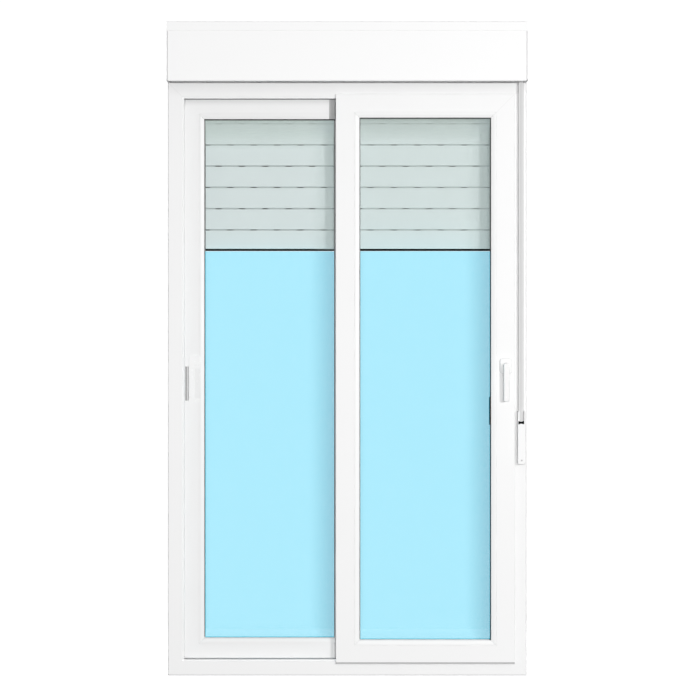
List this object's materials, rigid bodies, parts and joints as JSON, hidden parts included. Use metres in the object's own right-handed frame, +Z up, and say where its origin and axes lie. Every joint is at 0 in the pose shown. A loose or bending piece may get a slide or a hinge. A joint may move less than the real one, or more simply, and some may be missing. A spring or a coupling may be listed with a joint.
{
  "type": "sliding patio door",
  "caption": "White sliding patio door with double-glazed sashes on two tracks, and a roller shutter with its box, slatted curtain, guides, lift strap and winder.",
  "frame": {"origin": "middle of the sill's underside, at half the frame's depth", "axes": "+X to the right seen from the room, +Y outdoors, +Z up"},
  "size_m": [1.2, 0.185, 2.18],
  "materials": {
    "white_pvc": "satin white",
    "shutter_pvc": "pale grey satin",
    "glass": "clear with a pale blue cast",
    "grey_gasket": "matt grey",
    "dark_rubber": "matt black",
    "aluminium": "mill finish",
    "steel": "galvanised",
    "nylon": "matt",
    "white_enamel": "gloss white",
    "strap_webbing": "pale grey webbing"
  },
  "bodies": {
    "frame": {"frame_sill": "white_pvc", "frame_head": "white_pvc", "frame_left_jamb": "white_pvc", "frame_right_jamb": "white_pvc", "box_top_panel": "white_pvc", "box_front_cover": "white_pvc", "box_back_panel": "white_pvc", "box_floor_panel": "white_pvc", "box_left_end": "white_pvc", "box_right_end": "white_pvc", "left_shutter_guide": "white_pvc", "right_shutter_guide": "white_pvc", "winder_base": "white_pvc", "winder_cover": "white_pvc", "shutter_slats": "shutter_pvc", "shutter_roll": "shutter_pvc", "shutter_bottom_bar": "shutter_pvc", "shutter_bottom_seal": "dark_rubber", "winder_brush": "dark_rubber", "front_runner": "aluminium", "rear_runner": "aluminium", "shutter_axle": "steel", "winder_screw": "steel", "strap_pulley": "nylon", "lift_strap": "strap_webbing"},
    "front_sash": {"front_sash_bottom_rail": "white_pvc", "front_sash_top_rail": "white_pvc", "front_sash_left_stile": "white_pvc", "front_sash_right_stile": "white_pvc", "front_glazing_beads": "white_pvc", "front_glass_gaskets": "grey_gasket", "front_room_glass": "glass", "front_outside_glass": "glass", "front_glass_spacer": "aluminium", "front_left_roller": "nylon", "front_right_roller": "nylon", "front_meeting_seal": "grey_gasket", "handle_rosette": "white_enamel"},
    "rear_sash": {"rear_sash_bottom_rail": "white_pvc", "rear_sash_top_rail": "white_pvc", "rear_sash_left_stile": "white_pvc", "rear_sash_right_stile": "white_pvc", "rear_glazing_beads": "white_pvc", "rear_glass_gaskets": "grey_gasket", "rear_room_glass": "glass", "rear_outside_glass": "glass", "rear_glass_spacer": "aluminium", "rear_left_roller": "nylon", "rear_right_roller": "nylon", "rear_meeting_seal": "grey_gasket", "rear_pull": "white_enamel"},
    "lever": {"handle_lever": "white_enamel"}
  },
  "joints": [
    {"name": "front_sash_slide", "type": "slide", "parent": "frame", "child": "front_sash", "axis": [-1, 0, 0], "range_m": [0, 0.5]},
    {"name": "rear_sash_slide", "type": "slide", "parent": "frame", "child": "rear_sash", "axis": [-1, 0, 0], "range_m": [-0.5, 0]},
    {"name": "lever_turn", "type": "hinge", "parent": "front_sash", "child": "lever", "pos_m": [0.53, -0.049, 1.036], "axis": [0, 1, 0], "range_deg": [0, 90]}
  ]
}
